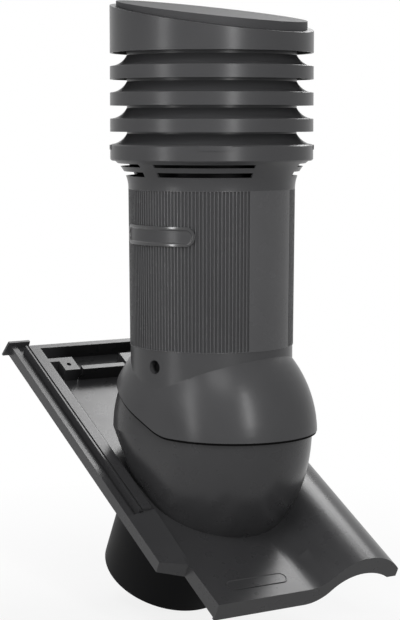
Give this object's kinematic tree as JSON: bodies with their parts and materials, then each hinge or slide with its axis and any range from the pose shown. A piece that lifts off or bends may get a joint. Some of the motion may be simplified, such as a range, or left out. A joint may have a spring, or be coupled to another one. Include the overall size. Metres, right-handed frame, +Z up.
{
  "type": "roof tile vent",
  "caption": "Anthracite roof tile vent: interlocking tile with dome, swivelling upright insulated pipe, louvred rain cap and black sleeve below.",
  "frame": {"origin": "where the pipe's upright axis meets the plane that the tile rests on", "axes": "+Z straight up along the pipe, +Y up the roof slope in plan, +X across the tile towards its roll; the tile's resting plane is tilted 28.1 degrees about X"},
  "size_m": [0.2345, 0.4025, 0.6113],
  "materials": {
    "plastic": "satin anthracite",
    "black_plastic": "matt black",
    "rubber": "matt",
    "foam": "closed-cell foam",
    "steel": "zinc plated"
  },
  "bodies": {
    "tile": {"base_tile": "plastic", "roof_sleeve": "black_plastic", "sleeve_seal": "rubber", "sleeve_screw_1": "steel", "sleeve_screw_2": "steel", "sleeve_screw_3": "steel", "sleeve_screw_4": "steel"},
    "chimney": {"swivel_hood": "plastic", "lock_screw_left": "black_plastic", "lock_nut_left": "steel", "lock_screw_right": "black_plastic", "lock_nut_right": "steel", "outer_tube": "plastic", "bell_collar": "plastic", "inner_duct": "black_plastic", "insulation": "foam", "neck_seal": "rubber", "duct_seal": "rubber", "cap_base": "plastic", "louvre_ring_1": "plastic", "louvre_ring_2": "plastic", "louvre_ring_3": "plastic", "cap_hood": "plastic", "cap_lid": "plastic", "cap_tie_1": "steel", "cap_tie_2": "steel", "cap_tie_3": "steel", "cap_tie_4": "steel"}
  },
  "joints": [
    {"name": "pitch_swivel", "type": "hinge", "parent": "tile", "child": "chimney", "pos_m": [0, 0, 0.08446], "axis": [0.9664, 0.2571, 0], "range_deg": [-8, 8]}
  ]
}
